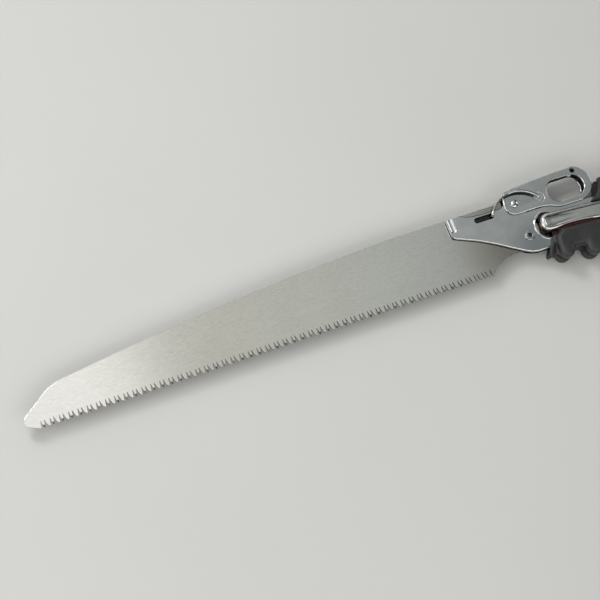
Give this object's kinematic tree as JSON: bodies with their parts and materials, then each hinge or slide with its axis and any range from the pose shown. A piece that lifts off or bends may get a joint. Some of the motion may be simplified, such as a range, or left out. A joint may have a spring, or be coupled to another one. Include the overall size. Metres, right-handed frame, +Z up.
{
  "type": "pruning saw",
  "caption": "Large folding pruning saw with a long curved-back blade, a lever lock with a wire toggle, a bright spine along the handle and rubber grips for two hands.",
  "frame": {"origin": "middle of the open saw's outline, on the face it lies on", "axes": "+X along the saw from the blade's tip to the handle's end, +Y to the blade's back, +Z up, square to the blade's flat"},
  "size_m": [1.1672, 0.1248, 0.03],
  "materials": {
    "blade_steel": "satin, fine scratches along the blade",
    "bronze": "plain",
    "bright_steel": "polished",
    "plate_steel": "bright plated",
    "plain_steel": "plain",
    "spine_metal": "satin plated",
    "red_core": "semi-gloss",
    "grip_rubber": "matt",
    "black_plastic": "fine matt"
  },
  "bodies": {
    "handle": {"pivot_bush": "bronze", "thrust_washers": "bronze", "pivot_bolt": "bright_steel", "spring_washer": "plain_steel", "pivot_nut": "plain_steel", "left_cheek": "plate_steel", "right_cheek": "plate_steel", "closing_stop": "plain_steel", "lever_pin": "bright_steel", "lever_pin_spacer": "plain_steel", "lever_washers": "plain_steel", "left_spine": "spine_metal", "right_spine": "spine_metal", "spine_rivets": "plain_steel", "left_grip_core": "red_core", "right_grip_core": "red_core", "left_lower_grip": "grip_rubber", "right_lower_grip": "grip_rubber", "left_finger_lobes": "grip_rubber", "right_finger_lobes": "grip_rubber", "left_upper_grip": "grip_rubber", "right_upper_grip": "grip_rubber", "back_spacer": "black_plastic", "back_bolts": "plain_steel", "back_nuts": "plain_steel", "end_cap": "black_plastic", "lanyard_eyelet": "bright_steel"},
    "blade": {"saw_blade": "blade_steel"},
    "lever": {"lock_lever": "plate_steel", "lock_tooth": "plain_steel", "toggle_eyelets": "bright_steel"},
    "toggle": {"left_toggle_wire": "bright_steel", "right_toggle_wire": "bright_steel"}
  },
  "joints": [
    {"name": "blade_fold", "type": "hinge", "parent": "handle", "child": "blade", "pos_m": [-0.01604, 0.00414, 0.015], "axis": [0, 0, 1], "range_deg": [0, 176]},
    {"name": "lever_lift", "type": "hinge", "parent": "handle", "child": "lever", "pos_m": [-0.01904, 0.04214, 0.015], "axis": [0, 0, 1], "range_deg": [0, 65], "stiffness_Nm_per_rad": 0.25, "springref_deg": -11.46},
    {"name": "toggle_swing", "type": "hinge", "parent": "lever", "child": "toggle", "pos_m": [0.01038, 0.04035, 0.015], "axis": [0, 0, 1], "range_deg": [-36, 0]}
  ],
  "couplings": [
    {"joint": "toggle_swing", "follows": "lever_lift", "ratio": -0.54}
  ]
}
